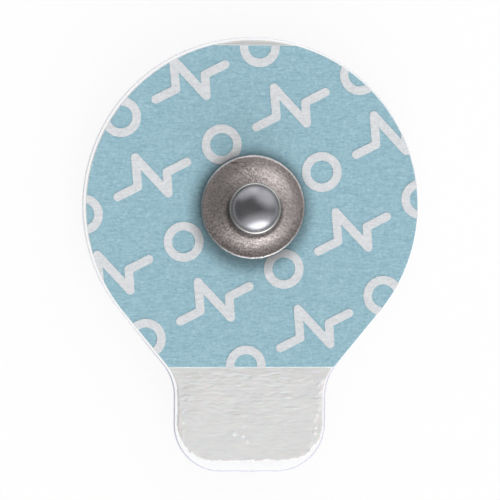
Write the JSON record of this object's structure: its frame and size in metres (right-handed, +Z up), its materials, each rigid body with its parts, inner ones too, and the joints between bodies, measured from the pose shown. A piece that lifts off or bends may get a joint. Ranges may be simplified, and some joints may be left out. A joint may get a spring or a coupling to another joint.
{
  "type": "snap electrode",
  "caption": "Round stick-on foam electrode with a grip tab, printed blue top, metal snap stud, wet gel sponge and a clear release liner.",
  "frame": {"origin": "on the snap stud's axis, on the flat underside of the liner's cup, where the electrode rests", "axes": "+Z up out of the snap stud, +Y away from the grip tab along the electrode's length, +X across it"},
  "size_m": [0.0262, 0.034, 0.0065],
  "materials": {
    "clear_film": "clear formed plastic film, glossy",
    "adhesive": "clear tacky adhesive",
    "white_foam": "closed-cell foam with a soft satin skin",
    "blue_tape": "light blue printed non-woven tape, matte",
    "white_ink": "white left unprinted in the blue, matte",
    "gel_sponge": "open foam soaked in clear gel, wet",
    "silver_coat": "moulded plastic with a silver and silver chloride coat, matte grey",
    "nickel_plate": "tumbled nickel plate, satin on the flange and brighter on the dome"
  },
  "bodies": {
    "root": {"release_liner": "clear_film", "skin_adhesive": "adhesive", "foam_pad": "white_foam", "printed_tape": "blue_tape", "printed_marks": "white_ink", "gel_sponge": "gel_sponge", "sensor_eyelet": "silver_coat", "snap_stud": "nickel_plate"}
  },
  "joints": []
}
